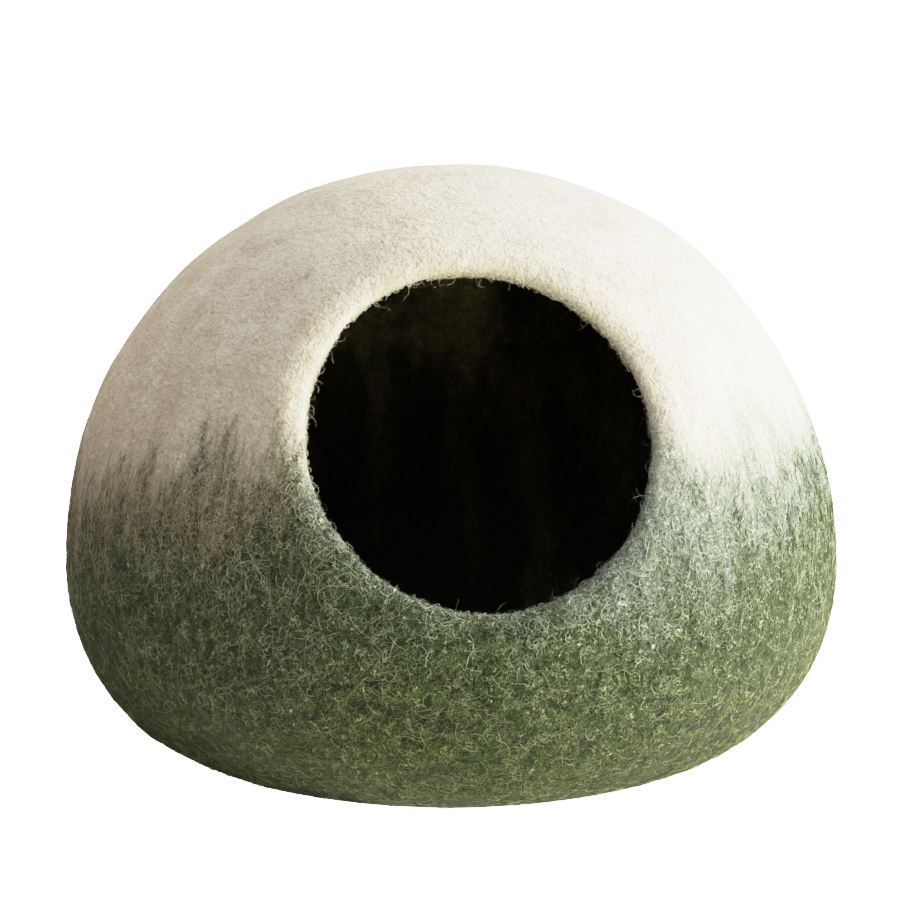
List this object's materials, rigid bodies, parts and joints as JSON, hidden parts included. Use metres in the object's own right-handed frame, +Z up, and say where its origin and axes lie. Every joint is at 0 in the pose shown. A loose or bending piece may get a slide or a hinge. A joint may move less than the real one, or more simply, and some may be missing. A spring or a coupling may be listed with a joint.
{
  "type": "felt cat cave",
  "caption": "Hollow seamless felt bed for a cat: a rounded bun with a flat underside and a round entrance in its front wall.",
  "frame": {"origin": "middle of the flat underside, on the surface that the cave stands on", "axes": "+Z up, the entrance faces -Y, +X is to the right of someone who looks into the entrance"},
  "size_m": [0.4799, 0.4785, 0.3612],
  "materials": {
    "wool_felt": "thick wet-felted wool, natural cream above and sage green below, the two feathered into each other at mid height, with fine curly fibres on the surface and dark green wool inside"
  },
  "bodies": {
    "root": {"felt_shell": "wool_felt"}
  },
  "joints": []
}
